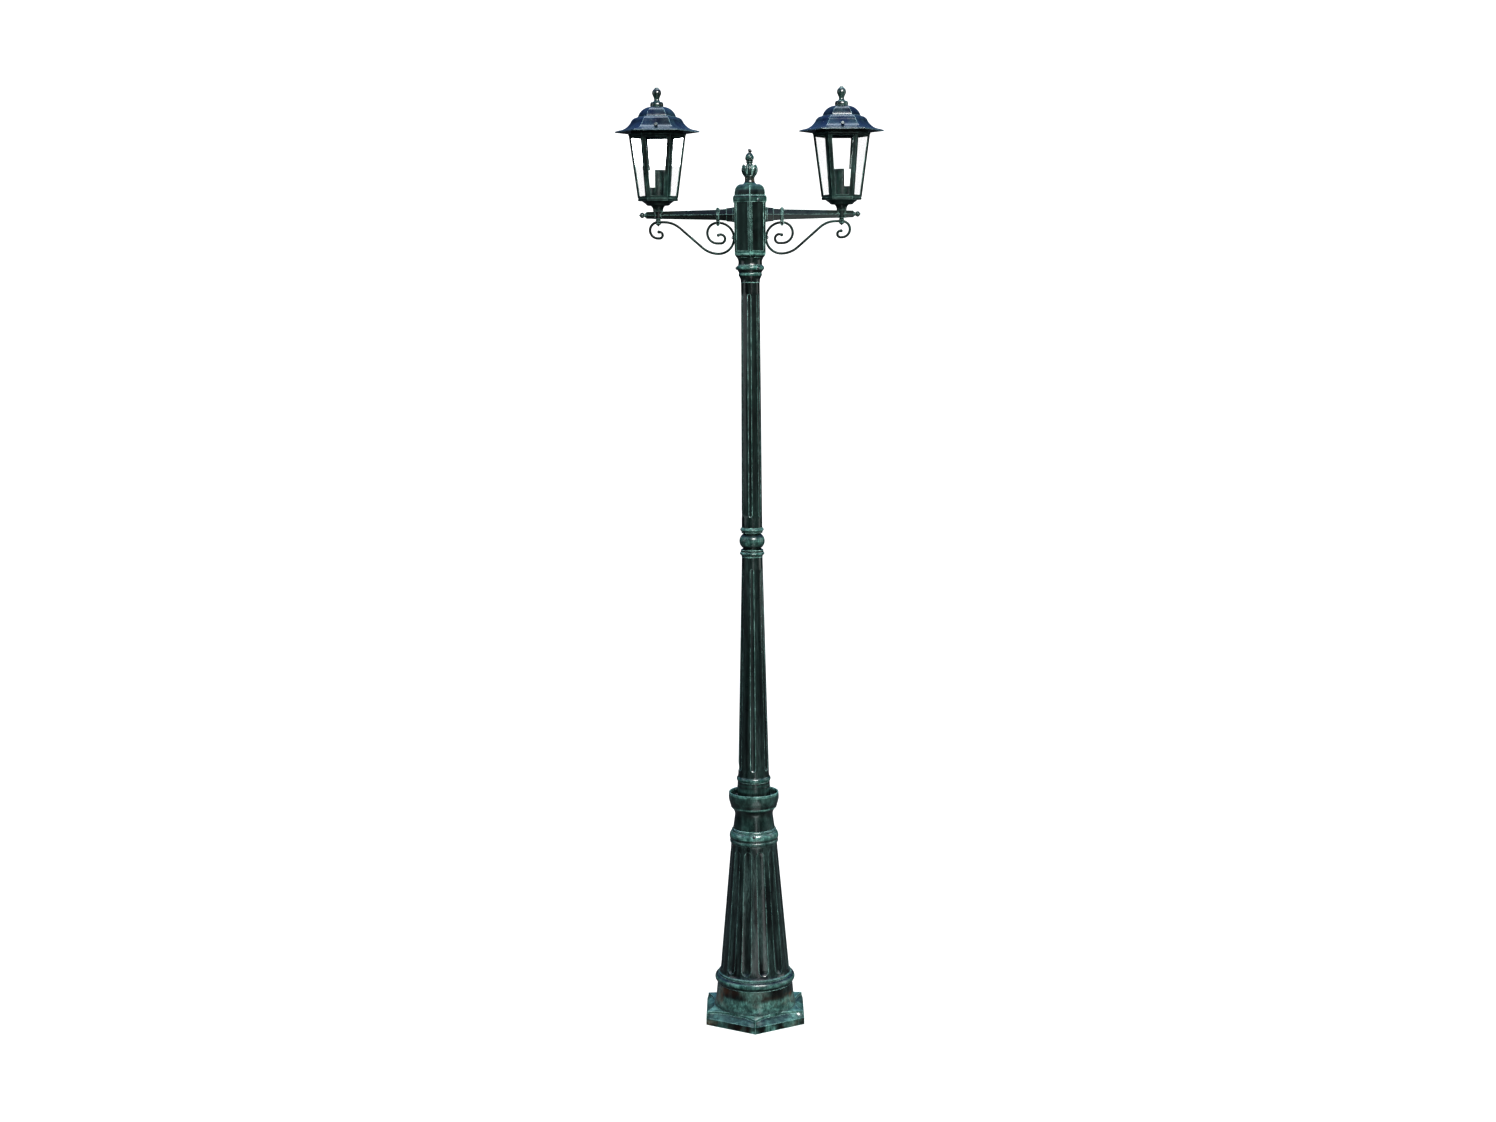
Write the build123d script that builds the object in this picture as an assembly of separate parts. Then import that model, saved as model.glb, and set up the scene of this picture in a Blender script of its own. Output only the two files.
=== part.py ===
from build123d import *
import math
import os

# A two-lantern garden lamp post in cast aluminium, standing on a six-sided foot.
# Sizes are in millimetres. The origin is the centre of the foot's underside and +Z is up.
# The arms lie along X, so the right lantern is at +X, and the front of the post faces -Y.

# ---------------------------------------------------------------- driving dimensions
overall_height = 2400.0
lantern_reach = 230.0          # post axis to lantern axis

fit_gap = 0.1                  # spigots in their sockets

# foot
plinth_apothem = 127.9
plinth_height = 18.0
tier_corner = 144.0            # corner radius of the tier with hollow sides
tier_sagitta = 19.7            # how far each side of that tier is drawn in
tier_bottom = 30.0
tier_top = 36.0
bell_bottom_radius = 107.0
bell_top_radius = 98.0
foot_top = 96.0
foot_bore = 92.0
flange_bore = 78.0             # inner flange that the pedestal is screwed to
flange_thickness = 6.0
anchor_circle = 232.0
anchor_hole = 8.5              # tapping size of M10
anchor_depth = 26.0

# pedestal
torus_centre_z = 108.4
torus_tube = 10.5
torus_radius = 94.0
pedestal_cone_bottom = 136.0
pedestal_cone_top = 466.0
pedestal_bottom_radius = 89.6
pedestal_top_radius = 60.0
pedestal_wall = 6.2
pedestal_top = 502.5
pedestal_ring_radius = 63.6
neck_screw_z = 497.6
pedestal_flutes = 12
pedestal_flute_radius = 30.0   # radius of the round cutter, not of the groove

# cup and neck
neck_spigot_radius = 54.0
neck_spigot_bottom = 474.0
screw_seat_radius = 59.4       # spot face of the screws that hold the neck
cup_floor = 585.0
cup_top = 606.0
cup_rim_radius = 64.6

# shafts
lower_spigot_bottom = 540.0
lower_spigot_radius = 40.0
lower_cone_bottom = 660.0
lower_cone_top = 1218.0
lower_bottom_radius = 39.9
lower_top_radius = 26.7
collar_bottom = 1222.0
collar_top = 1297.0
collar_bore = 21.6
upper_bottom_radius = 26.3
upper_top_radius = 23.6
upper_top = 1918.0
upper_spigot_radius = 19.0
upper_spigot_top = 1975.0
capital_screw_z = 1953.8
capital_screw_seat = 34.4
capital_screw_angle = -55
shaft_flutes = 6

# head
capital_top = 1990.0
box_bottom_apothem = 38.9
box_top_apothem = 39.7
box_top = 2124.0
box_wall = 4.0
panel_depth = 1.2
panel_border = 5.5
band_bottom = 2116.8
dome_top = 2161.5

# arms
arm_z = 2086.7
arm_end = 260.0
arm_bore = 6.0
hub_radius = 11.5
hub_bottom = 2077.2
hub_top = 2096.4
strap_x = 80.4

# scrolls
bar_thickness = 4.5
bar_width = 9.5

# lanterns: corner radii of the hexagon
tray_rim_top = 2129.0
tray_floor = 2114.5
frame_bottom_corner = 50.6
frame_top_corner = 71.1
frame_top = 2283.0
frame_sheet = 1.5
corner_leg = 9.0
ledge_top = 2287.0
roof_seat = 2309.5
roof_seat_apothem = 56.5
glass_thickness = 2.0
screw_z = 2306.5

# lamp holder
nipple_radius = 5.0            # M10 x 1 hollow rod
nipple_bore = 3.2
sleeve_radius = 23.7
sleeve_top = 2197.5
holder_top = 2196.0
e27_radius = 13.3


# ---------------------------------------------------------------- helpers
def profile(items):
    """Closed outline in the XZ plane. A (radius, z) pair is a corner, and a list of pairs is one smooth curve."""
    runs = [item if isinstance(item, list) else [item] for item in items]
    edges = []
    for run, following in zip(runs, runs[1:] + runs[:1]):
        if len(run) > 1:
            edges.append(Spline(*[(r, 0, z) for r, z in run]))
        if run[-1] != following[0]:
            (r0, z0), (r1, z1) = run[-1], following[0]
            edges.append(Line((r0, 0, z0), (r1, 0, z1)))
    return make_face(edges)


def turned(items):
    """Solid of revolution about Z from a profile."""
    return revolve(profile(items), axis=Axis.Z)


def ring(radius, z, tube, half_angle):
    """Smooth run for the outer side of a half-round ring."""
    run = []
    for step in range(-3, 4):
        angle = math.radians(half_angle * step / 3)
        run.append((radius + tube * math.cos(angle), z + tube * math.sin(angle)))
    return run


def rod(radius, z0, z1, x=0.0, y=0.0):
    """Upright cylinder from z0 to z1."""
    height = z1 - z0
    return Pos(x, y, z0 + height / 2) * Cylinder(radius, height)


def six_sided(items):
    """Six-sided solid from a profile of (apothem, z); its flats face 0, 60 and 120 degrees."""
    mirrored = []
    for item in reversed(items):
        run = item if isinstance(item, list) else [item]
        run = [(-a, z) for a, z in reversed(run)]
        mirrored.append(run)
    slab = extrude(profile(items + mirrored), amount=300, both=True)
    solid = slab
    for turn in (60, 120):
        solid = solid & (Rot(0, 0, turn) * slab)
    return solid


def hex_prism(apothem, z0, z1, rotation=30):
    """Upright six-sided prism; rotation 30 puts flats at +X and -X."""
    section = RegularPolygon(apothem, 6, major_radius=False, rotation=rotation)
    return Pos(0, 0, z0) * extrude(section, amount=z1 - z0)


def radial(solid, angle, radius, z):
    """Place a solid whose own +Z is its axis so that the axis points outward at an angle."""
    return Rot(0, 0, angle) * Pos(radius, 0, z) * Rot(0, 90, 0) * solid


def capsule(radius, start, end):
    """Round-ended cutter between two points of the XZ plane."""
    x0, z0 = start
    x1, z1 = end
    length = math.hypot(x1 - x0, z1 - z0)
    lean = math.degrees(math.atan2(x1 - x0, z1 - z0))
    body = Pos(0, 0, length / 2) * Cylinder(radius, length)
    body = body + Sphere(radius) + Pos(0, 0, length) * Sphere(radius)
    return Pos(x0, 0, z0) * Rot(0, lean, 0) * body


def fluted(solid, count, first_angle, cutter_radius, low, high):
    """Cut round-ended flutes; low and high are (surface radius, z, depth) of each end."""
    ends = []
    for surface, z, depth in (low, high):
        ends.append((surface + cutter_radius - depth, z))
    cutter = capsule(cutter_radius, ends[0], ends[1])
    for k in range(count):
        solid = solid - Rot(0, 0, first_angle + k * 360 / count) * cutter
    return solid


def cone_radius(z, z0, r0, z1, r1):
    """Radius of a straight cone at height z."""
    return r0 + (r1 - r0) * (z - z0) / (z1 - z0)


def round_bar(path, radius):
    """Round section swept along a path."""
    section = Plane(origin=path @ 0, z_dir=path % 0) * Circle(radius)
    return sweep(section, path=path)


def left_of(part):
    """The left-hand twin of a right-hand piece."""
    return mirror(part, about=Plane.YZ)


nodes = {}


def add_pair(name, part):
    """Store a piece of the right lantern and its twin on the left."""
    nodes[name + "_right"] = part
    nodes[name + "_left"] = left_of(part)


# ---------------------------------------------------------------- foot
def foot():
    plinth = RegularPolygon(plinth_apothem, 6, major_radius=False, rotation=30)
    corners = []
    middles = []
    middle_radius = tier_corner * math.cos(math.radians(30)) - tier_sagitta
    for k in range(6):
        corner = math.radians(30 + 60 * k)
        middle = math.radians(60 + 60 * k)
        corners.append((tier_corner * math.cos(corner), tier_corner * math.sin(corner)))
        middles.append((middle_radius * math.cos(middle), middle_radius * math.sin(middle)))
    sides = Curve()
    for k in range(6):
        sides += ThreePointArc(corners[k], middles[k], corners[(k + 1) % 6])
    tier = make_face(sides)
    body = extrude(plinth, amount=plinth_height)
    slope = loft([Pos(0, 0, plinth_height) * plinth, Pos(0, 0, tier_bottom) * tier], ruled=True)
    body += slope
    body += Pos(0, 0, tier_bottom) * extrude(tier, amount=tier_top - tier_bottom)
    bell = [
        (60, 20),
        (bell_bottom_radius, 20),
        [(bell_bottom_radius, 38), (102.6, 54), (100.0, 76), (bell_top_radius, foot_top)],
        (60, foot_top),
    ]
    body += turned(bell)
    # the hollow, with a flange left at the top and a shallow pocket under the plinth
    body -= rod(foot_bore, -1, foot_top - flange_thickness)
    body -= rod(flange_bore, 0, foot_top + 1)
    pocket = hex_prism(plinth_apothem - 6, -1, 13)
    for k in range(3):
        angle = math.radians(90 + 120 * k)
        x = anchor_circle / 2 * math.cos(angle)
        y = anchor_circle / 2 * math.sin(angle)
        pocket -= rod(12, -2, 14, x, y)
    body -= pocket
    for k in range(3):
        angle = math.radians(90 + 120 * k)
        x = anchor_circle / 2 * math.cos(angle)
        y = anchor_circle / 2 * math.sin(angle)
        body -= rod(anchor_hole / 2, -1, anchor_depth, x, y)
    for k in range(3):
        angle = math.radians(30 + 120 * k)
        body -= rod(3.2, 80, foot_top + 1, 85 * math.cos(angle), 85 * math.sin(angle))
    return body


# ---------------------------------------------------------------- pedestal
def pedestal():
    outer = [
        (flange_bore, foot_top + 1.9),
        (torus_radius + 2, foot_top + 1.9),
        ring(torus_radius, torus_centre_z, torus_tube, 80),
        [(95.4, 120.0), (95.8, 121.8), (95.4, 123.5)],
        [(93.4, 124.6), (91.0, 129.8), (pedestal_bottom_radius, pedestal_cone_bottom)],
        (pedestal_top_radius, pedestal_cone_top),
        [(60.6, 470.6), (62.4, 473.6), (62.8, 477.0), (61.6, 480.2)],
        (61.6, 481.6),
        [(62.6, 482.6), (pedestal_ring_radius, 487.0), (62.6, 495.6), (58.4, pedestal_top)],
        (neck_spigot_radius, pedestal_top),
        (neck_spigot_radius, neck_spigot_bottom),
        (48.0, neck_spigot_bottom),
        (48.0, 467.0),
        (pedestal_top_radius - pedestal_wall, pedestal_cone_top - 8),
        (pedestal_bottom_radius - pedestal_wall, pedestal_cone_bottom),
        (86.0, 108.0),
        (86.0, 104.0),
        (flange_bore, 104.0),
    ]
    # the seam: the flange under the torus meets the foot on a narrow band
    seat = turned([(flange_bore, foot_top), (95.5, foot_top), (95.5, 98.5), (flange_bore, 98.5)])
    body = turned(outer) + seat
    z_low = 150.0
    z_high = 448.0
    low = (cone_radius(z_low, 136.0, pedestal_bottom_radius, 466.0, pedestal_top_radius), z_low, 3.7)
    high = (cone_radius(z_high, 136.0, pedestal_bottom_radius, 466.0, pedestal_top_radius), z_high, 2.2)
    body = fluted(body, pedestal_flutes, 15, pedestal_flute_radius, low, high)
    for k in range(3):
        body -= radial(Cylinder(3.0, 30), -90 + 120 * k, 60, neck_screw_z)
        body -= radial(Cylinder(4.4, 6), -90 + 120 * k, screw_seat_radius + 3, neck_screw_z)
        angle = math.radians(30 + 120 * k)
        body -= rod(3.0, 90, 112, 85 * math.cos(angle), 85 * math.sin(angle))
    return body


# ---------------------------------------------------------------- cup and neck
def cup():
    outline = [
        (44.0, neck_spigot_bottom),
        (neck_spigot_radius - fit_gap, neck_spigot_bottom),
        (neck_spigot_radius - fit_gap, pedestal_top),
        [(56.9, pedestal_top), (57.8, 505.0), (56.8, 507.6)],
        [(54.6, 509.2), (53.2, 517.0), (50.4, 537.0), (49.5, 549.0), (51.8, 556.8), (57.6, 564.0)],
        [(59.4, 566.0), (61.9, 576.0), (64.6, 586.0), (65.2, 594.0), (cup_rim_radius, 600.5)],
        [(cup_rim_radius, 603.8), (63.2, cup_top), (61.4, 605.2), (60.6, 602.8)],
        [(60.4, 593.0), (58.4, 587.4), (53.0, cup_floor)],
        (lower_spigot_radius + fit_gap, cup_floor),
        (lower_spigot_radius + fit_gap, lower_spigot_bottom - 2),
        (44.0, lower_spigot_bottom - 8),
    ]
    return turned(outline)


# ---------------------------------------------------------------- shafts and collar
def lower_shaft():
    outline = [
        (34.0, lower_spigot_bottom),
        (lower_spigot_radius, lower_spigot_bottom),
        (lower_spigot_radius, cup_floor),
        (43.0, cup_floor),
        (42.4, 600.0),
        [(42.2, 618.0), (42.6, 620.4), (42.2, 622.8)],
        (41.8, 634.0),
        ring(36.6, 640.6, 7.6, 50),
        [(41.0, 647.6), (40.2, 653.0), (lower_bottom_radius, lower_cone_bottom)],
        (lower_top_radius, lower_cone_top),
        (lower_top_radius, collar_bottom),
        (collar_bore - fit_gap, collar_bottom),
        (collar_bore - fit_gap, 1258.0),
        (17.5, 1258.0),
        (17.5, 1222.0),
        (20.6, 1200.0),
        (33.4, lower_cone_bottom),
    ]
    body = turned(outline)
    ends = []
    for z, depth in ((672.0, 2.6), (1187.0, 1.3)):
        surface = cone_radius(z, lower_cone_bottom, lower_bottom_radius, lower_cone_top, lower_top_radius)
        ends.append((surface, z, depth))
    return fluted(body, shaft_flutes, -92, 12.0, ends[0], ends[1])


def mid_collar():
    return turned([
        (collar_bore, collar_bottom),
        (26.9, collar_bottom),
        (27.4, 1225.4),
        ring(28.0, 1230.6, 3.5, 65),
        (28.9, 1236.5),
        (28.9, 1240.0),
        ring(10.4, 1262.5, 22.0, 58),
        (27.0, 1284.0),
        (27.2, 1287.6),
        ring(26.9, 1292.0, 3.3, 65),
        (27.0, collar_top),
        (collar_bore, collar_top),
    ])


def upper_shaft():
    outline = [
        (collar_bore - fit_gap, 1262.0),
        (collar_bore - fit_gap, collar_top),
        (upper_bottom_radius, collar_top),
        (upper_top_radius, upper_top),
        (upper_spigot_radius, upper_top),
        (upper_spigot_radius, upper_spigot_top),
        (14.5, upper_spigot_top),
        (14.5, upper_top),
        (17.5, upper_top - 30),
        (17.5, 1262.0),
    ]
    body = turned(outline)
    ends = []
    for z in (1330.0, 1884.0):
        surface = cone_radius(z, collar_top, upper_bottom_radius, upper_top, upper_top_radius)
        ends.append((surface, z, 1.5))
    return fluted(body, shaft_flutes, -98, 9.0, ends[0], ends[1])


# ---------------------------------------------------------------- head
def capital():
    outline = [
        (upper_spigot_radius + fit_gap, upper_top),
        (24.2, upper_top),
        [(24.2, 1921.0), (25.0, 1926.6), (27.4, 1932.2)],
        [(28.4, 1934.2), (29.4, 1938.0), (28.4, 1941.8)],
        [(28.8, 1943.0), (30.8, 1947.0), (33.8, 1950.4)],
        [(34.6, 1951.4), (35.2, 1954.6), (34.0, 1958.4), (31.0, 1961.0)],
        [(30.4, 1962.6), (29.7, 1968.6), (30.8, 1975.0), (33.4, 1980.0)],
        (33.4, 1982.0),
        (upper_spigot_radius + fit_gap, 1982.0),
    ]
    flare = six_sided([
        [(28.0, 1978.2), (32.6, 1980.4), (36.0, 1983.0), (37.4, 1986.0)],
        (38.7, 1987.4),
        (38.7, capital_top),
    ])
    body = turned(outline) + flare
    body -= rod(upper_spigot_radius + fit_gap, 1960, upper_spigot_top + 1)
    body -= rod(10.0, 1960, capital_top + 1)
    body -= rod(2.0, 1984.0, capital_top + 1, -22.0, -12.7)
    for k in range(3):
        angle = math.radians(-90 + 120 * k)
        body -= rod(2.5, 1978, capital_top + 1, 26.5 * math.cos(angle), 26.5 * math.sin(angle))
        body -= radial(Cylinder(3.0, 30), capital_screw_angle + 120 * k, 26, capital_screw_z)
        body -= radial(Cylinder(4.4, 4), capital_screw_angle + 120 * k, capital_screw_seat + 2, capital_screw_z)
    return body


def box_apothem(z):
    return cone_radius(z, capital_top, box_bottom_apothem, box_top, box_top_apothem)


def box_outside():
    return six_sided([(box_bottom_apothem, capital_top), (box_top_apothem, box_top)])


def box():
    body = box_outside()
    inner_bottom = box_bottom_apothem - box_wall
    inner_top = box_top_apothem - box_wall
    body -= six_sided([(inner_bottom, capital_top + 4), (inner_top, box_top + 1)])
    body -= rod(10.0, capital_top - 1, capital_top + 5)
    face_half = box_bottom_apothem * math.tan(math.radians(30)) - panel_border
    for k in range(6):
        low = 1996.5
        high = 2118.5
        if k % 3 == 0:
            high = 2062.0
        middle = (low + high) / 2
        lean = -math.degrees(math.atan((box_top_apothem - box_bottom_apothem) / (box_top - capital_top)))
        panel = Box(2 * panel_depth, 2 * face_half, high - low)
        panel = fillet(panel.edges().filter_by(Axis.X), 2.5)
        place = Pos(box_apothem(middle), 0, middle) * Rot(0, -lean, 0)
        body -= Rot(0, 0, 60 * k) * place * panel
    for side in (1, -1):
        body -= Pos(side * 37, 0, arm_z) * Rot(0, 90, 0) * Cylinder(8, 16)
        body -= Pos(side * 36, 0, 2030) * Rot(0, 90, 0) * Cylinder(2.0, 16)
        for y in (-13.5, 13.5):
            body -= Pos(side * 37, y, arm_z) * Rot(0, 90, 0) * Cylinder(2.5, 16)
    for k in range(3):
        angle = math.radians(-90 + 120 * k)
        body -= rod(2.7, capital_top - 1, capital_top + 5, 26.5 * math.cos(angle), 26.5 * math.sin(angle))
    body -= rod(2.0, capital_top - 1, capital_top + 5, -22.0, -12.7)
    return body


def cap():
    outer = six_sided([
        [(40.6, band_bottom), (42.0, 2119.8), (42.4, 2124.4), (42.0, 2129.2), (40.6, 2133.0)],
        (38.6, 2134.0),
        [(38.2, 2136.0), (37.2, 2146.6), (33.6, 2155.0), (28.2, 2159.8), (22.0, dome_top)],
    ])
    inner = six_sided([
        (40.1, band_bottom - 1),
        (40.1, box_top),
        (35.4, box_top),
        [(34.8, 2141.0), (33.0, 2149.0), (29.5, 2154.0), (24.0, 2157.3)],
        (10.0, 2158.2),
    ])
    body = outer - inner
    body += rod(8.0, 2148, 2159)
    body -= rod(4.0, 2147, dome_top + 1)
    body -= radial(Cylinder(2.5, 10), -60, 41, 2122.5)
    return body


def head_finial():
    outline = [
        (0, 2149.0),
        (4.0, 2149.0),
        (4.0, dome_top),
        (21.0, dome_top),
        [(20.4, 2163.0), (15.6, 2167.0), (12.5, 2172.6), (12.6, 2176.4)],
        [(13.2, 2177.8), (17.6, 2186.0), (19.2, 2195.0), (17.2, 2204.6), (12.2, 2212.6), (8.0, 2216.8)],
        [(6.8, 2218.2), (6.8, 2219.8)],
        [(7.6, 2220.6), (10.6, 2225.0), (10.6, 2231.4), (7.0, 2236.8), (4.0, 2239.0)],
        [(3.2, 2240.4), (2.2, 2244.4), (1.5, 2248.5)],
        (0, 2248.5),
    ]
    body = turned(outline)
    groove = Pos(-8.2, 0, 2194.6) * Rot(90, 0, 0) * Torus(27.9, 1.7)
    groove = groove & (Pos(17.5, 0, 2195) * Box(14, 8, 37))
    for k in range(8):
        body -= Rot(0, 0, 22.5 + 45 * k) * groove
    return body


# ---------------------------------------------------------------- arm
def arm_section(x, apothem):
    """Six-sided section of the arm, with one edge to the front and one to the back."""
    plane = Plane(origin=(x, 0, arm_z), x_dir=(0, 1, 0), z_dir=(1, 0, 0))
    return plane * RegularPolygon(apothem, 6, major_radius=False, rotation=0)


def arm_solid():
    """Outside shape of the right arm."""
    steps = [
        (box_apothem(arm_z) - 2, 18.4, 43.5, 18.4),
        (43.5, 17.6, 59.0, 16.2),
        (59.0, 14.6, 84.0, 12.5),
        (84.0, 12.5, 246.0, 8.75),
        (246.0, 8.75, arm_end, 8.4),
    ]
    body = None
    for x0, a0, x1, a1 in steps:
        piece = loft([arm_section(x0, a0), arm_section(x1, a1)], ruled=True)
        body = piece if body is None else body + piece
    return body - box_outside()


def arm():
    body = arm_solid()
    body += rod(hub_radius, hub_bottom, hub_top, lantern_reach)
    bore_start = 30.0
    bore_end = lantern_reach + 4
    bore_middle = (bore_start + bore_end) / 2
    body -= Pos(bore_middle, 0, arm_z) * Rot(0, 90, 0) * Cylinder(arm_bore, bore_end - bore_start)
    body -= rod(nipple_radius, 2080, hub_top + 1, lantern_reach)
    body -= rod(2.5, hub_bottom - 1, 2081, lantern_reach)
    body -= Pos(arm_end - 5, 0, arm_z) * Rot(0, 90, 0) * Cylinder(3.0, 12)
    for y in (-13.5, 13.5):
        body -= Pos(44, y, arm_z) * Rot(0, 90, 0) * Cylinder(2.5, 18)
    return body


def arm_tip():
    outline = [
        (0, -10.0),
        (3.0, -10.0),
        (3.0, 0.0),
        (5.8, 0.0),
        (6.2, 1.2),
        (5.6, 2.4),
        (4.2, 3.6),
        (4.0, 5.0),
        (5.4, 6.2),
        (6.8, 8.2),
        (7.1, 10.2),
        (6.6, 12.4),
        (5.0, 14.4),
        (2.8, 15.8),
        (1.6, 17.0),
        (1.2, 17.8),
        (0, 17.8),
    ]
    return Pos(arm_end, 0, arm_z) * Rot(0, 90, 0) * turned(outline)


# ---------------------------------------------------------------- scroll
def scroll_path():
    """Centre line of the scroll in the XZ plane, from the inner curl outward."""
    wall = box_apothem(2028.5) - panel_depth + bar_thickness / 2
    big = 38.5
    centre_x = wall + big
    moves = [
        ("turn", 11.0, 212.0),
        ("line", 8.0),
        ("turn", 25.5, 180.0),
        ("line", 3.0),
        ("turn", big, 180.0),
        ("turn", 62.0, 41.2),
        ("line", 74.6),
        ("turn", -60.0, 41.2),
        ("line", 15.6),
        ("turn", -20.0, 180.0),
        ("turn", -8.0, 165.0),
    ]
    # walk backwards from the top of the big ring to find the start of the curl
    x = centre_x + 3.0 - 8.0 + 0.0
    z = 2016.0
    start_angle = math.radians(270.0 - 212.0)
    x = x + 11.0 * math.cos(start_angle)
    z = z + 11.0 + 11.0 * math.sin(start_angle)
    heading = math.degrees(start_angle) + 90.0
    path = Curve()
    for move in moves:
        direction = math.radians(heading)
        if move[0] == "line":
            nx = x + move[1] * math.cos(direction)
            nz = z + move[1] * math.sin(direction)
            path += Line((x, 0, z), (nx, 0, nz))
        else:
            radius = move[1]
            sign = 1 if radius > 0 else -1
            cx = x - radius * math.sin(direction)
            cz = z + radius * math.cos(direction)
            points = [(x, 0, z)]
            for part in (0.5, 1.0):
                swing = math.radians(sign * move[2] * part)
                dx = x - cx
                dz = z - cz
                px = cx + dx * math.cos(swing) - dz * math.sin(swing)
                pz = cz + dx * math.sin(swing) + dz * math.cos(swing)
                points.append((px, 0, pz))
            path += ThreePointArc(*points)
            nx = points[2][0]
            nz = points[2][2]
            heading += sign * move[2]
        x = nx
        z = nz
    return path


def scroll_bar():
    """The flat bar with a rounded knob at each end."""
    path = scroll_path()
    start = path @ 0
    plane = Plane(origin=start, x_dir=(0, 1, 0), z_dir=path % 0)
    bar = sweep(plane * Rectangle(bar_width, bar_thickness), path=path)
    for end in (path @ 0, path @ 1):
        knob = Pos(end.X, 0, end.Z) * Rot(90, 0, 0) * Cylinder(3.2, bar_width)
        bar += knob
    return bar


def scroll():
    body = scroll_bar()
    body -= rod(2.6, 2060, 2075, lantern_reach)
    body -= Pos(40, 0, 2030) * Rot(0, 90, 0) * Cylinder(2.0, 12)
    return body


def arm_strap():
    """Ring round the arm with a lug that the scroll's bar passes through."""
    plane = Plane(origin=(strap_x - 4.5, 0, arm_z), x_dir=(0, 1, 0), z_dir=(1, 0, 0))
    ring = extrude(plane * RegularPolygon(17.8, 6, major_radius=False, rotation=0), amount=9)
    ring = chamfer(ring.faces().filter_by(Axis.X).edges(), 2.6)
    lug = Pos(strap_x, 0, 2065.5) * Box(8.0, 14.5, 13.0)
    lug = chamfer(lug.faces().sort_by(Axis.Z)[0].edges(), 2.4)
    return ring + lug - arm_solid() - scroll_bar()


# ---------------------------------------------------------------- lantern
def tray():
    """Six-sided dish; its profile is the lantern's own, before it is moved to the arm."""
    rim = Rot(0, 0, 30) * six_sided([
        (43.0, 2121.6),
        (43.4, 2123.0),
        (43.4, 2126.6),
        (42.6, 2127.6),
        (42.6, tray_rim_top),
    ])
    pan = turned([
        (0, hub_top),
        (12.5, hub_top),
        [(12.5, 2098.4), (13.6, 2104.0), (16.8, 2108.8), (21.4, 2112.0)],
        [(22.6, 2111.6), (25.4, 2110.4), (27.8, 2111.2), (30.0, 2113.6)],
        (41.2, 2122.2),
        (41.2, 2123.0),
        (0, 2123.0),
    ])
    hollow = turned([
        (0, tray_floor),
        (25.6, tray_floor),
        (29.4, 2117.0),
        (37.2, 2123.4),
        (38.6, 2126.0),
        (38.6, 2131.0),
        (0, 2131.0),
    ])
    body = rim + pan - hollow
    return body - rod(nipple_radius, hub_top - 1, tray_floor + 1)


def frame_sheet_solid(inset, z0, z1):
    """Six-sided funnel that the lantern's sides lie on, drawn in by an inset."""
    slope = (frame_top_corner - frame_bottom_corner) / (frame_top - tray_rim_top)
    factor = math.cos(math.radians(30))
    low = (frame_bottom_corner + slope * (z0 - tray_rim_top)) * factor - inset
    high = (frame_bottom_corner + slope * (z1 - tray_rim_top)) * factor - inset
    return Rot(0, 0, 30) * six_sided([(low, z0), (high, z1)])


def side_plane(k, inset=0.0):
    """Plane on one side of the lantern, its y axis running up the slope."""
    factor = math.cos(math.radians(30))
    low = frame_bottom_corner * factor
    high = frame_top_corner * factor
    lean = math.atan((high - low) / (frame_top - tray_rim_top))
    phi = math.radians(30 + 60 * k)
    radius = (low + high) / 2 - inset / math.cos(lean)
    z = (tray_rim_top + frame_top) / 2
    across = (-math.sin(phi), math.cos(phi), 0)
    outward = (math.cos(lean) * math.cos(phi), math.cos(lean) * math.sin(phi), -math.sin(lean))
    return Plane(origin=(radius * math.cos(phi), radius * math.sin(phi), z), x_dir=across, z_dir=outward)


def trapezoid(low_half, high_half, low_y, high_y):
    return make_face(Polyline(
        (-low_half, low_y),
        (low_half, low_y),
        (high_half, high_y),
        (-high_half, high_y),
        close=True,
    ))


def frame():
    body = frame_sheet_solid(0, tray_rim_top, frame_top)
    body -= frame_sheet_solid(frame_sheet, tray_rim_top - 1, frame_top + 1)
    half_low = frame_bottom_corner / 2 - corner_leg
    half_high = frame_top_corner / 2 - corner_leg
    window = trapezoid(half_low, half_high, -77.5 + 5.0, 77.5 - 5.0)
    for k in range(6):
        body -= extrude(side_plane(k, 4) * window, amount=8)
    # inward shelf for the panes at the bottom
    shelf = Rot(0, 0, 30) * hex_prism(43.2, tray_rim_top, tray_rim_top + 1.5)
    shelf -= Rot(0, 0, 30) * hex_prism(38.6, tray_rim_top - 1, tray_rim_top + 3)
    body += shelf
    # ledge under the roof and the upright collar that the roof sits on
    ledge = Rot(0, 0, 30) * six_sided([
        (60.6, frame_top - 1.0),
        (62.2, frame_top),
        (62.6, frame_top + 1.0),
        (62.6, ledge_top - 0.8),
        (61.8, ledge_top),
    ])
    collar = Rot(0, 0, 30) * hex_prism(roof_seat_apothem, ledge_top - 1, roof_seat)
    inside = Rot(0, 0, 30) * hex_prism(roof_seat_apothem - 1.8, frame_top - 3, roof_seat + 1)
    throat = Rot(0, 0, 30) * six_sided([
        (58.6, frame_top - 2.0),
        (59.0, frame_top + 0.5),
        (54.7, ledge_top),
        (54.7, ledge_top + 1),
    ])
    body += ledge + collar
    return body - inside - throat


def glass():
    """Six loose panes behind the corner strips."""
    pane = trapezoid(22.3, 32.5, -75.6, 75.6)
    panes = []
    for k in range(6):
        plane = side_plane(k, frame_sheet + glass_thickness)
        panes.append(extrude(plane * pane, amount=glass_thickness))
    return Compound(children=[p.solid() for p in panes])


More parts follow.
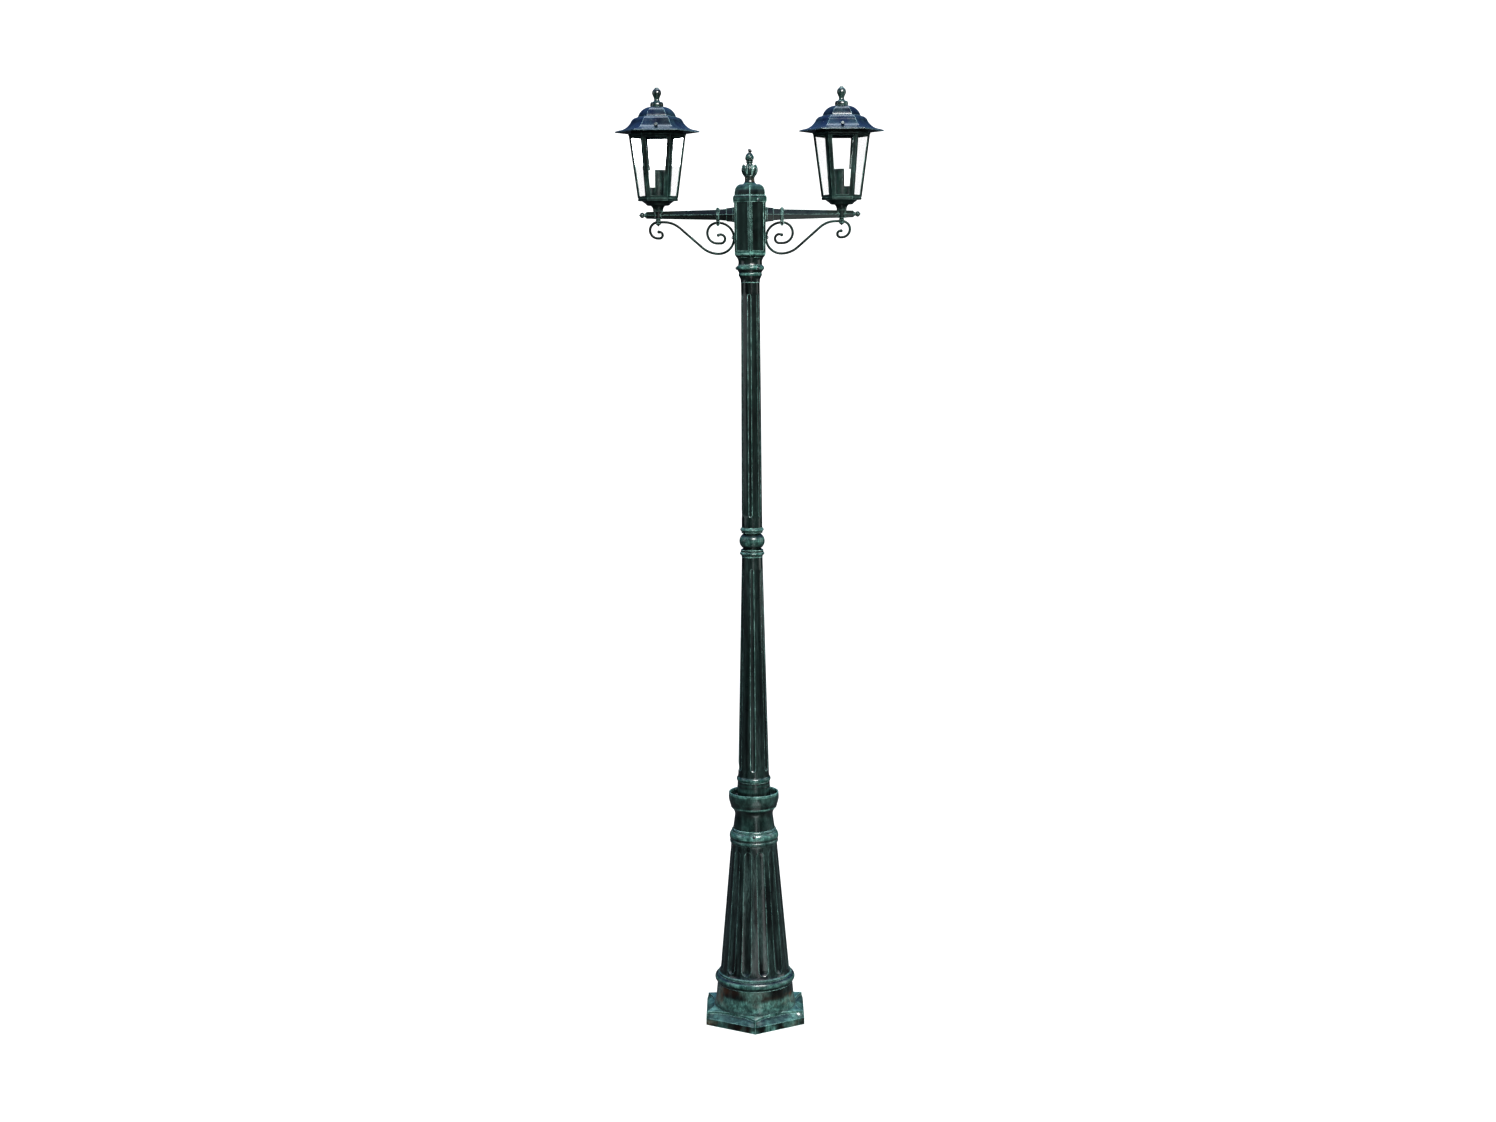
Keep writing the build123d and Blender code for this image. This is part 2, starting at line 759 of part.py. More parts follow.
roof_profile = [
    (88.6, 2290.1),
    [(91.6, 2290.1), (91.9, 2291.2), (91.2, 2292.6), (90.0, 2293.5)],
    [(82.0, 2296.0), (73.8, 2298.2), (66.2, 2303.2), (60.4, 2309.6), (57.4, 2314.2), (55.8, 2318.0)],
    [(54.6, 2320.2), (51.4, 2323.8), (47.2, 2326.6)],
    (44.2, 2327.2),
    [(41.0, 2329.0), (39.8, 2333.2), (36.4, 2339.8), (30.8, 2346.2), (24.0, 2350.6), (17.0, 2352.9)],
]


def roof():
    outer = Rot(0, 0, 30) * six_sided(roof_profile)
    inner = Rot(0, 0, 30) * six_sided([
        (88.6, 2289.0),
        (88.6, 2290.6),
        [(81.0, 2293.2), (72.4, 2295.6), (64.6, 2300.2), (57.4, 2308.0)],
        (57.1, roof_seat),
        (52.8, roof_seat),
        [(52.8, 2317.0), (49.4, 2321.2), (45.2, 2324.2)],
        (40.2, 2325.6),
        [(37.6, 2328.6), (35.6, 2334.2), (31.4, 2340.6), (26.0, 2345.6), (19.0, 2349.2)],
        (9.0, 2350.4),
    ])
    body = outer - inner
    body += rod(7.0, 2343, 2351)
    body -= rod(3.0, 2342, 2354)
    for k in range(3):
        angle = -90 + 120 * k
        boss = radial(Cylinder(4.2, 8.2), angle, 63.5, screw_z)
        body += boss
        body -= radial(Cylinder(2.06, 20), angle, 63.5, screw_z)
    return body


def roof_finial():
    outline = [
        (0, 2344.0),
        (3.0, 2344.0),
        (3.0, 2352.9),
        (15.2, 2352.9),
        [(16.0, 2354.0), (16.5, 2357.6), (15.8, 2361.6), (14.4, 2364.2)],
        [(9.6, 2365.2), (7.2, 2368.0), (6.7, 2372.0), (8.6, 2378.0), (11.0, 2383.6), (11.2, 2388.4)],
        [(11.2, 2388.4), (9.6, 2393.2), (5.8, 2396.6)],
        [(5.2, 2397.4), (5.0, 2398.8), (3.8, overall_height)],
        (0, overall_height),
    ]
    return turned(outline)


def thumb_screw():
    """Knurled knob on a plain shank; its own axis is Z and its knob is the high end."""
    shank = Pos(0, 0, 62.5) * Cylinder(2.0, 11.2)
    knob = Pos(0, 0, 71.0) * Cylinder(4.0, 6.0)
    knob = chamfer(knob.edges().filter_by(GeomType.CIRCLE), 0.5)
    for k in range(12):
        knob -= Rot(0, 0, 30 * k) * Pos(4.15, 0, 71.0) * Cylinder(0.5, 7.0)
    return shank + knob


# ---------------------------------------------------------------- lamp holder
def holder_sleeve():
    return rod(sleeve_radius, tray_floor, sleeve_top) - rod(22.3, tray_floor - 1, sleeve_top + 1)


def lamp_socket():
    body = turned([
        (nipple_radius, 2121.0),
        (22.2, 2121.0),
        (22.2, 2124.0),
        (15.0, 2126.0),
        (17.6, 2134.0),
        (19.2, 2140.0),
        (19.2, holder_top),
        (e27_radius + 0.5, holder_top),
        (e27_radius + 0.5, 2164.0),
        (5.2, 2164.0),
        (5.2, 2162.0),
        (4.0, 2162.0),
        (4.0, 2158.0),
        (14.0, 2158.0),
        (14.0, 2128.0),
        (nipple_radius, 2128.0),
    ])
    return body


def socket_contacts():
    """Threaded shell of the holder and its centre contact."""
    shell = rod(e27_radius + 0.5, 2164.0, 2195.0) - rod(e27_radius, 2163.0, 2196.0)
    shell += rod(e27_radius, 2164.0, 2164.6) - rod(9.0, 2163.0, 2165.0)
    contact = rod(5.0, 2162.0, 2163.8) + rod(3.9, 2154.0, 2162.0)
    return Compound(children=[shell.solid(), contact.solid()])


def holder_label():
    """Blank sticker on the outer side of the sleeve."""
    outline = Polyline(
        (sleeve_radius, 0, 2155.0),
        (sleeve_radius + 0.25, 0, 2155.0),
        (sleeve_radius + 0.25, 0, 2197.0),
        (sleeve_radius, 0, 2197.0),
        close=True,
    )
    return Rot(0, 0, -75) * revolve(make_face(outline), axis=Axis.Z, revolution_arc=95)


def nipple():
    body = rod(nipple_radius, 2080.0, 2128.0) - rod(nipple_bore, 2079.0, 2129.0)
    return body - Pos(-4, 0, arm_z + 0.6) * Box(6, 5.6, 8.4)


def arm_leads():
    """Two insulated cores from the terminal block, along the arm and up the rod."""
    cores = []
    for y in (-1.4, 1.4):
        rise = Spline(
            (7.0, 15.0 + y, 2010.0),
            (12.0, 10.0 + y, 2052.0),
            (31.0, y, arm_z),
            tangents=[(0, 0, 1), (1, 0, 0)],
        )
        along = Line((31.0, y, arm_z), (lantern_reach - 4, y, arm_z))
        bend = ThreePointArc(
            (lantern_reach - 4, y, arm_z),
            (lantern_reach - 4 + 4 * math.sin(math.radians(45)), y, arm_z + 4 - 4 * math.cos(math.radians(45))),
            (lantern_reach, y, arm_z + 4),
        )
        up = Line((lantern_reach, y, arm_z + 4), (lantern_reach, y, 2140.0))
        path = Curve() + [rise, along, bend, up]
        cores.append(round_bar(path, 1.2).solid())
    return Compound(children=cores)


# ---------------------------------------------------------------- small parts
def pan_screw(radius, length, head_radius, head_height):
    """Screw along its own Z: the tip at 0 and a low domed head above the length, with a hexagon socket."""
    body = turned([
        (0, 0),
        (radius * 0.8, 0),
        (radius, radius * 0.3),
        (radius, length),
        (head_radius, length),
        (head_radius, length + head_height * 0.55),
        (head_radius * 0.72, length + head_height * 0.9),
        (0, length + head_height),
    ])
    return body - hex_prism(head_radius * 0.4, length + head_height * 0.35, length + head_height + 1)


def many(parts):
    return Compound(children=[p.solid() for p in parts])


def post_set_screws():
    screws = []
    for k in range(3):
        tip = neck_spigot_radius - fit_gap
        screw = pan_screw(3.0, screw_seat_radius - tip, 3.9, 2.4)
        screws.append(radial(screw, -90 + 120 * k, tip, neck_screw_z))
        tip = upper_spigot_radius
        screw = pan_screw(3.0, capital_screw_seat - tip, 3.9, 3.0)
        screws.append(radial(screw, capital_screw_angle + 120 * k, tip, capital_screw_z))
    return many(screws)


def foot_screws():
    screws = []
    for k in range(3):
        angle = math.radians(30 + 120 * k)
        place = Pos(85 * math.cos(angle), 85 * math.sin(angle), 110.0) * Rot(180, 0, 0)
        screws.append(place * pan_screw(3.0, 20.0, 5.5, 5.0))
    return many(screws)


def head_screws():
    screws = []
    for k in range(3):
        angle = math.radians(-90 + 120 * k)
        place = Pos(26.5 * math.cos(angle), 26.5 * math.sin(angle), 1979.0)
        screws.append(place * pan_screw(2.5, 15.0, 4.4, 3.0))
    return many(screws)


def arm_screws():
    screws = []
    for side in (0, 180):
        for y in (-13.5, 13.5):
            place = Rot(0, 0, side) * Pos(52.0, y, arm_z) * Rot(0, -90, 0)
            screws.append(place * pan_screw(2.5, 16.6, 4.2, 3.0))
    return many(screws)


def scroll_screws():
    bar_inner_x = box_apothem(2028.5) - panel_depth + bar_thickness
    place = Pos(bar_inner_x - 9.5, 0, 2030) * Rot(0, 90, 0)
    screw = place * pan_screw(2.0, 9.4, 3.8, 4.4) - scroll()
    return many([screw, left_of(screw)])


def scroll_spacers():
    """Short turned collars between the arm's hub and the scroll."""
    bar_top = scroll_top_z() + bar_thickness / 2
    spacer = turned([
        (2.6, bar_top),
        (6.6, bar_top),
        (6.8, bar_top + 1.2),
        (5.6, hub_bottom - 1.0),
        (5.6, hub_bottom),
        (2.6, hub_bottom),
    ])
    spacer = Pos(lantern_reach, 0, 0) * spacer - scroll()
    return many([spacer, left_of(spacer)])


def scroll_drops():
    """Pointed drop screws that hang the scroll under the lantern."""
    bar_bottom = scroll_top_z() - bar_thickness / 2
    drop = turned([
        (0, bar_bottom - 8.4),
        (0.8, bar_bottom - 8.4),
        (2.4, bar_bottom - 6.0),
        (5.2, bar_bottom - 4.2),
        (6.8, bar_bottom - 2.4),
        (6.6, bar_bottom),
        (2.5, bar_bottom),
        (2.5, 2079.8),
        (0, 2079.8),
    ])
    drop = Pos(lantern_reach, 0, 0) * drop - scroll()
    return many([drop, left_of(drop)])


def scroll_top_z():
    """Height of the bar's centre line where it runs level under the lantern."""
    climb = 62.0 * (1 - math.cos(math.radians(41.2)))
    climb += 74.6 * math.sin(math.radians(41.2))
    climb += 60.0 * (1 - math.cos(math.radians(41.2)))
    return 2016.0 + 51.0 - 77.0 + climb


def nipple_nuts():
    nut = hex_prism(7.0, tray_floor, tray_floor + 5.0, 0) - rod(nipple_radius, 2110, 2125)
    return many([Pos(x, 0, 0) * nut for x in (lantern_reach, -lantern_reach)])


def terminal_block():
    body = Pos(0, 19, 2003) * Box(30, 12, 18)
    for x in (-7, 0, 7):
        body -= Pos(x, 19, 2010) * Cylinder(1.6, 6)
    body -= Pos(0, 14, 2004) * Rot(90, 0, 0) * Cylinder(4.0, 6)
    for x in (-7.0, 7.0):
        body -= Pos(x, 15, 2010.4) * Box(3.2, 6.4, 4.0)
    return fillet(body.edges().filter_by(Axis.Z).group_by(Axis.X)[0], 1.0)


def riser_cable():
    path = Curve() + [
        Line((0, 0, 80.0), (0, 0, 1994.0)),
        ThreePointArc((0, 0, 1994.0), (0, 10 - 10 * math.cos(math.radians(45)), 2001.07), (0, 10, 2004.0)),
        Line((0, 10, 2004.0), (0, 13.0, 2004.0)),
    ]
    return round_bar(path, 3.9)


def inlet_connector():
    """In-line watertight cable joint that hangs in the foot."""
    return turned([
        (0, 28.0),
        (8.0, 28.0),
        (9.5, 30.0),
        (9.5, 38.0),
        (13.0, 40.0),
        (13.0, 64.0),
        (11.0, 66.0),
        (11.0, 76.0),
        (8.0, 80.0),
        (0, 80.0),
    ])


# ---------------------------------------------------------------- assembly
nodes["base_foot"] = foot()
nodes["base_pedestal"] = pedestal()
nodes["base_cup_neck"] = cup()
nodes["lower_shaft"] = lower_shaft()
nodes["mid_collar"] = mid_collar()
nodes["upper_shaft"] = upper_shaft()
nodes["head_capital"] = capital()
nodes["head_box"] = box()
nodes["head_cap"] = cap()
nodes["head_finial"] = head_finial()
nodes["head_cap_screw"] = radial(pan_screw(2.5, 2.6, 3.6, 1.6), -60, 40.1, 2122.5)
nodes["foot_screws"] = foot_screws()
nodes["post_set_screws"] = post_set_screws()
nodes["head_screws"] = head_screws()
nodes["arm_screws"] = arm_screws()
nodes["scroll_screws"] = scroll_screws()
nodes["scroll_spacers"] = scroll_spacers()
nodes["scroll_drops"] = scroll_drops()
nodes["nipple_nuts"] = nipple_nuts()
nodes["terminal_block"] = terminal_block()
nodes["earth_screw"] = Pos(-22.0, -12.7, 1984.4) * pan_screw(2.0, 9.6, 3.6, 2.4)
nodes["riser_cable"] = riser_cable()
nodes["inlet_connector"] = inlet_connector()

to_lantern = Pos(lantern_reach, 0, 0)
add_pair("arm", arm())
add_pair("arm_tip", arm_tip())
add_pair("arm_strap", arm_strap())
add_pair("scroll", scroll())
add_pair("lantern_nipple", to_lantern * nipple())
add_pair("lantern_tray", to_lantern * tray())
add_pair("lantern_frame", to_lantern * frame())
add_pair("lantern_glass", to_lantern * glass())
add_pair("holder_sleeve", to_lantern * holder_sleeve())
add_pair("holder_label", to_lantern * holder_label())
add_pair("lamp_socket", to_lantern * lamp_socket())
add_pair("socket_contacts", to_lantern * socket_contacts())
add_pair("arm_leads", arm_leads())
add_pair("roof", to_lantern * roof())
add_pair("roof_finial", to_lantern * roof_finial())
for number in range(3):
    screw = radial(thumb_screw(), -90 + 120 * number, 0, screw_z)
    add_pair("roof_screw_" + str(number + 1), to_lantern * screw)

os.makedirs("parts", exist_ok=True)
for name in sorted(nodes):
    export_step(nodes[name], "parts/" + name + ".step")
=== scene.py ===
import math

import bmesh
import bpy
from mathutils import Matrix, Vector


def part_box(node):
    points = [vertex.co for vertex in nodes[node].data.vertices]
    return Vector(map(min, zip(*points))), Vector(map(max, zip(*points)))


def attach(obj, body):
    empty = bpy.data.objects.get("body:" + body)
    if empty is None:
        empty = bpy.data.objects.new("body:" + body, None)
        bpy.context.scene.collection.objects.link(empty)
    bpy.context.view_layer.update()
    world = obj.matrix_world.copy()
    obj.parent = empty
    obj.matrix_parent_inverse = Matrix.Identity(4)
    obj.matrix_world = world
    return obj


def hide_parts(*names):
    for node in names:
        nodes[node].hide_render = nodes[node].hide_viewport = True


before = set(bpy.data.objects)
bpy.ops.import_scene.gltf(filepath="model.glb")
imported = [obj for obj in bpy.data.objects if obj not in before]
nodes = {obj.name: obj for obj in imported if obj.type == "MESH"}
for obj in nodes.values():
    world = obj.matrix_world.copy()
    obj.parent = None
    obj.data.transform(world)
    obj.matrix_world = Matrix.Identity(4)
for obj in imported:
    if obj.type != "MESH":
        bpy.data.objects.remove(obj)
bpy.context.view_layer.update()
scene = bpy.context.scene

SIDES = (("left", -1.0), ("right", 1.0))
LANTERN_X = 0.23
MM = 0.001
TURN = 2 * math.pi


def linear(code):
    """'#rrggbb' as linear RGBA."""
    out = []
    for i in (1, 3, 5):
        c = int(code[i:i + 2], 16) / 255
        out.append(c / 12.92 if c <= 0.04045 else ((c + 0.055) / 1.055) ** 2.4)
    return (*out, 1.0)


# ------------------------------------------------------------------ node helper
class Nodes:
    """Short calls for the nodes of one tree."""

    def __init__(self, tree):
        self.tree = tree

    def add(self, kind):
        return self.tree.nodes.new(kind)

    def link(self, source, target):
        self.tree.links.new(source, target)

    def put(self, socket, value):
        if isinstance(value, bpy.types.NodeSocket):
            self.link(value, socket)
        else:
            socket.default_value = value

    def math(self, operation, a, b=0.0, clamp=False):
        node = self.add("ShaderNodeMath")
        node.operation = operation
        node.use_clamp = clamp
        self.put(node.inputs[0], a)
        self.put(node.inputs[1], b)
        return node.outputs[0]

    def either(self, factor, a, b):
        """Shader a where factor is 0 and b where it is 1."""
        node = self.add("ShaderNodeMixShader")
        self.link(factor, node.inputs[0])
        self.link(a, node.inputs[1])
        self.link(b, node.inputs[2])
        return node.outputs[0]

    def unscattered(self):
        """1 on a ray from the eye, also through a pane, and 0 once it has bounced off something."""
        ray = self.add("ShaderNodeLightPath")
        sight = self.math("MAXIMUM", ray.outputs["Is Camera Ray"], ray.outputs["Is Transmission Ray"])
        bounces = self.math("ADD", ray.outputs["Diffuse Depth"], ray.outputs["Glossy Depth"])
        return self.math("MULTIPLY", sight, self.math("SUBTRACT", 1.0, bounces, clamp=True))


class Mat(Nodes):
    """A material on the Principled shader, with patterns for its sockets."""

    def __init__(self, name):
        self.mat = bpy.data.materials.new(name)
        self.mat.use_nodes = True
        super().__init__(self.mat.node_tree)
        self.bsdf = self.tree.nodes["Principled BSDF"]
        self.out = self.tree.nodes["Material Output"]
        self.pos = self.add("ShaderNodeTexCoord").outputs["Object"]
        split = self.add("ShaderNodeSeparateXYZ")
        self.link(self.pos, split.inputs[0])
        self.x, self.y, self.z = split.outputs

    def ramp(self, value, low, high, to_low=0.0, to_high=1.0):
        node = self.add("ShaderNodeMapRange")
        node.interpolation_type = "SMOOTHSTEP"
        self.put(node.inputs[0], value)
        node.inputs[1].default_value = low
        node.inputs[2].default_value = high
        node.inputs[3].default_value = to_low
        node.inputs[4].default_value = to_high
        return node.outputs[0]

    def stretch(self, scale, offset=(0, 0, 0)):
        node = self.add("ShaderNodeMapping")
        self.link(self.pos, node.inputs[0])
        node.inputs["Location"].default_value = offset
        node.inputs["Scale"].default_value = scale
        return node.outputs[0]

    def noise(self, scale, detail=3.0, rough=0.55, stretch=None, offset=(0, 0, 0), warp=0.0):
        node = self.add("ShaderNodeTexNoise")
        self.link(self.stretch(stretch or (1, 1, 1), offset), node.inputs["Vector"])
        node.inputs["Scale"].default_value = scale
        node.inputs["Detail"].default_value = detail
        node.inputs["Roughness"].default_value = rough
        node.inputs["Distortion"].default_value = warp
        return node.outputs[0]

    def mix(self, factor, a, b):
        node = self.add("ShaderNodeMix")
        node.data_type = "RGBA"
        self.put(node.inputs[0], factor)
        self.put(node.inputs[6], a)
        self.put(node.inputs[7], b)
        return node.outputs[2]

    def bump(self, height, strength, distance, normal=None):
        node = self.add("ShaderNodeBump")
        node.inputs["Strength"].default_value = strength
        node.inputs["Distance"].default_value = distance
        self.link(height, node.inputs["Height"])
        if normal is not None:
            self.link(normal, node.inputs["Normal"])
        return node.outputs[0]

    def edges(self, radius, low=0.003, high=0.04):
        """1 on edges: where a rounded normal differs from the true one."""
        bevel = self.add("ShaderNodeBevel")
        bevel.samples = 6
        bevel.inputs["Radius"].default_value = radius
        true = self.add("ShaderNodeNewGeometry")
        dot = self.add("ShaderNodeVectorMath")
        dot.operation = "DOT_PRODUCT"
        self.link(bevel.outputs[0], dot.inputs[0])
        self.link(true.outputs["Normal"], dot.inputs[1])
        return self.ramp(self.math("SUBTRACT", 1.0, dot.outputs["Value"]), low, high)

    def hollows(self, distance, low=0.45, high=0.95):
        """1 in corners and grooves, where little sky reaches."""
        shade = self.add("ShaderNodeAmbientOcclusion")
        shade.samples = 6
        shade.only_local = True
        shade.inputs["Distance"].default_value = distance
        return self.ramp(shade.outputs["AO"], low, high, 1.0, 0.0)

    def facing_up(self, low=0.1, high=0.95):
        """How much the surface faces the sky, 0 to 1."""
        true = self.add("ShaderNodeNewGeometry")
        split = self.add("ShaderNodeSeparateXYZ")
        self.link(true.outputs["Normal"], split.inputs[0])
        return self.ramp(split.outputs[2], low, high)

    def bands(self, levels):
        """Sum of soft bands in height: (z, half width, strength)."""
        total = None
        for z, half, strength in levels:
            away = self.math("ABSOLUTE", self.math("SUBTRACT", self.z, z))
            band = self.ramp(away, half * 0.45, half, strength, 0.0)
            total = band if total is None else self.math("MAXIMUM", total, band)
        return total


# ------------------------------------------------------------------ paint on the castings
NIGHT = linear("#030505")
PINE = linear("#0a1714")
VERDIGRIS = linear("#2c6258")
PALE_VERDIGRIS = linear("#86c0b0")
GREY_GREEN = linear("#3b4f4a")
BRONZE = linear("#6b3f20")


def casting(name, bands=(), edge=0.0022, trace=1.0, streak=0.5, grain=(1, 1, 0.07), wash=0.0, bronze=(),
            brown_from=0.0, up=0.0, pale=0.0, left=None, coat=0.6):
    """Dark enamel, with verdigris brushed over its edges, rings and rims, its edges paled partly as a painted
    highlight, and painted shade darkening its hollows.

    bands and bronze are (height, half width, strength) of what is brushed on at a height, brown_from is how
    far out from the middle the bronze is at full strength, edge is the radius that counts as an edge and
    trace how strongly edges are brushed and painted with highlight, streak is the strength of the pale hairs
    and grain their direction, wash is verdigris in patches, up is verdigris on what faces the sky, pale makes
    the verdigris paler, left is a colour mixed into the enamel of the left half as a painted tint for that
    side lying in shade, and coat is the gloss.
    """
    m = Mat(name)
    cloud = m.noise(9, 4, 0.6)
    base = m.mix(m.ramp(cloud, 0.35, 0.68), NIGHT, PINE)
    # painted shade: the left half gets a teal tint for the side that lies away from the key light
    if left:
        base = m.mix(m.ramp(m.x, -0.004, 0.004, 0.55, 0.0), base, left)
    # brush marks: fine hairs, gathered into broader strokes along the piece
    hairs = m.noise(760, 4, 0.6, stretch=grain)
    strokes = m.noise(70, 3, 0.5, stretch=grain, offset=(3.1, 1.7, 0.4))
    brush = m.math("MULTIPLY", m.ramp(hairs, 0.3, 0.7), m.ramp(strokes, 0.36, 0.66))
    colour = m.mix(m.math("MULTIPLY", brush, streak), base, GREY_GREEN)
    # verdigris wiped over what stands out
    rub = m.ramp(m.noise(150, 4, 0.65, stretch=(1, 1, 0.5)), 0.3, 0.66)
    worn = m.math("MULTIPLY", m.edges(edge), m.math("ADD", 0.25, m.math("MULTIPLY", rub, 0.75)))
    worn = m.math("MULTIPLY", worn, trace)
    # pale on the rubbed edges: partly paler verdigris rubbed there, partly a painted highlight along the
    # edges
    edge_rub_and_highlight = m.math("MULTIPLY", worn, m.ramp(m.noise(35, 3, 0.6, offset=(4, 4, 8)), 0.4, 0.65, 0.2, 0.95))
    wiped = m.math("ADD", 0.25, m.math("MULTIPLY", m.ramp(hairs, 0.32, 0.68), 0.6))
    if bands:
        patch = m.ramp(m.noise(30, 4, 0.65, stretch=(1, 1, 2.0), offset=(2, 9, 4)), 0.35, 0.65, 0.35, 1.0)
        worn = m.math("MAXIMUM", worn, m.math("MULTIPLY", m.bands(bands), m.math("MULTIPLY", patch, wiped)))
    if wash:
        area = m.ramp(m.noise(19, 3, 0.5, stretch=(1, 1, 0.7), offset=(7, 1, 3)), 0.42, 0.66, 0.0, wash)
        worn = m.math("MAXIMUM", worn, m.math("MULTIPLY", area, wiped))
    if up:
        sky = m.math("MULTIPLY", m.facing_up(), m.math("MULTIPLY", rub, up))
        worn = m.math("MAXIMUM", worn, sky)
    # painted shade: corners and grooves are darkened nearly to black, and less verdigris is rubbed into them
    hollow_shade = m.hollows(0.006)
    worn = m.math("MULTIPLY", worn, m.math("SUBTRACT", 1.0, m.math("MULTIPLY", hollow_shade, 0.8)), clamp=True)
    patina = m.mix(m.ramp(m.noise(75, 4, 0.6), 0.4 - pale, 0.8 - pale), VERDIGRIS, PALE_VERDIGRIS)
    if bronze:
        brown = m.math("MULTIPLY", m.bands(bronze), m.ramp(m.noise(13, 3, 0.6, offset=(5, 2, 1)), 0.42, 0.62))
        brown = m.math("MULTIPLY", brown, m.ramp(hairs, 0.3, 0.6, 0.35, 1.0))
        if brown_from:
            side = m.ramp(m.math("ABSOLUTE", m.x), brown_from * 0.7, brown_from, 0.12, 1.0)
            brown = m.math("MULTIPLY", brown, side)
        colour = m.mix(brown, colour, BRONZE)
    colour = m.mix(m.math("MULTIPLY", worn, 0.85), colour, patina)
    # edges paled: partly rubbed verdigris, partly painted highlight
    colour = m.mix(edge_rub_and_highlight, colour, linear("#a9d3c7"))
    # painted shade in the hollows
    colour = m.mix(m.math("MULTIPLY", hollow_shade, 0.8), colour, linear("#020404"))
    m.link(colour, m.bsdf.inputs["Base Color"])
    gloss = m.math("ADD", 0.26, m.math("MULTIPLY", worn, 0.16))
    gloss = m.math("ADD", gloss, m.math("MULTIPLY", m.ramp(m.noise(60, 4, 0.6), 0.3, 0.8), 0.14))
    m.link(m.math("ADD", gloss, m.math("MULTIPLY", brush, 0.1)), m.bsdf.inputs["Roughness"])
    m.bsdf.inputs["Specular IOR Level"].default_value = coat / 2
    m.bsdf.inputs["Coat Weight"].default_value = coat
    m.bsdf.inputs["Coat Roughness"].default_value = 0.13
    # sand-cast grain under the paint, and brush ridges in it
    sand = m.bump(m.noise(520, 3, 0.6), 0.22, 0.0006)
    ridges = m.bump(hairs, 0.16, 0.0007, sand)
    m.link(m.bump(m.noise(28, 2, 0.5), 0.12, 0.004, ridges), m.bsdf.inputs["Normal"])
    return m.mat


def roof_paint(name):
    """Near-black enamel tinted blue as painted sky reflection, paled by a painted sky sheen where it lies
    flat, with painted shade in its hollows.
    """
    m = Mat(name)
    # the blue in the enamel is a painted sky reflection
    base = m.mix(m.ramp(m.noise(14, 4, 0.6), 0.35, 0.7), linear("#04080f"), linear("#0e1b30"))
    hairs = m.noise(700, 4, 0.6, stretch=(1, 1, 0.12))
    strokes = m.noise(45, 3, 0.5, stretch=(1, 1, 0.3))
    brush = m.math("MULTIPLY", m.ramp(hairs, 0.3, 0.7), m.ramp(strokes, 0.34, 0.68))
    base = m.mix(m.math("MULTIPLY", brush, 0.35), base, linear("#3a5c5e"))
    # painted sky sheen: faces lying flat to the sky are paled
    flat = m.math("MULTIPLY", m.facing_up(0.9, 1.0), m.ramp(hairs, 0.35, 0.7))
    base = m.mix(m.math("MULTIPLY", flat, 0.3), base, linear("#7f9698"))
    rub = m.ramp(m.noise(140, 4, 0.65), 0.3, 0.65)
    worn = m.math("MULTIPLY", m.edges(0.0022), m.math("ADD", 0.3, m.math("MULTIPLY", rub, 0.7)))
    # painted shade: grooves and corners are darkened, and edges in them are rubbed less
    hollow_shade = m.hollows(0.007)
    worn = m.math("MULTIPLY", worn, m.math("SUBTRACT", 1.0, hollow_shade), clamp=True)
    base = m.mix(m.math("MULTIPLY", worn, 0.75), base, linear("#86a5a6"))
    # painted shade in the hollows
    base = m.mix(m.math("MULTIPLY", hollow_shade, 0.6), base, linear("#030507"))
    m.link(base, m.bsdf.inputs["Base Color"])
    gloss = m.math("ADD", 0.2, m.math("MULTIPLY", m.ramp(m.noise(70, 4, 0.6), 0.3, 0.8), 0.16))
    m.link(m.math("ADD", gloss, m.math("MULTIPLY", brush, 0.12)), m.bsdf.inputs["Roughness"])
    m.bsdf.inputs["Specular IOR Level"].default_value = 0.3
    m.bsdf.inputs["Coat Weight"].default_value = 0.25
    m.bsdf.inputs["Coat Roughness"].default_value = 0.2
    sand = m.bump(m.noise(480, 3, 0.6), 0.12, 0.0005)
    ridges = m.bump(hairs, 0.14, 0.0006, sand)
    m.link(m.bump(m.noise(30, 2, 0.5), 0.14, 0.004, ridges), m.bsdf.inputs["Normal"])
    return m.mat


def zinc(name):
    """Dulled plated steel, scratched, with painted shade in its hollows."""
    m = Mat(name)
    cloud = m.ramp(m.noise(400, 4, 0.6), 0.3, 0.75)
    scratch = m.noise(2600, 3, 0.7, stretch=(1, 0.08, 1))
    colour = m.mix(cloud, linear("#3a4144"), linear("#7d8585"))
    # painted shade: the hollows of the screws are darkened
    colour = m.mix(m.hollows(0.0015), colour, linear("#1c1d1b"))
    m.link(colour, m.bsdf.inputs["Base Color"])
    m.bsdf.inputs["Metallic"].default_value = 1.0
    m.link(m.math("ADD", 0.28, m.math("MULTIPLY", cloud, 0.22)), m.bsdf.inputs["Roughness"])
    m.link(m.bump(scratch, 0.25, 0.0002), m.bsdf.inputs["Normal"])
    return m.mat


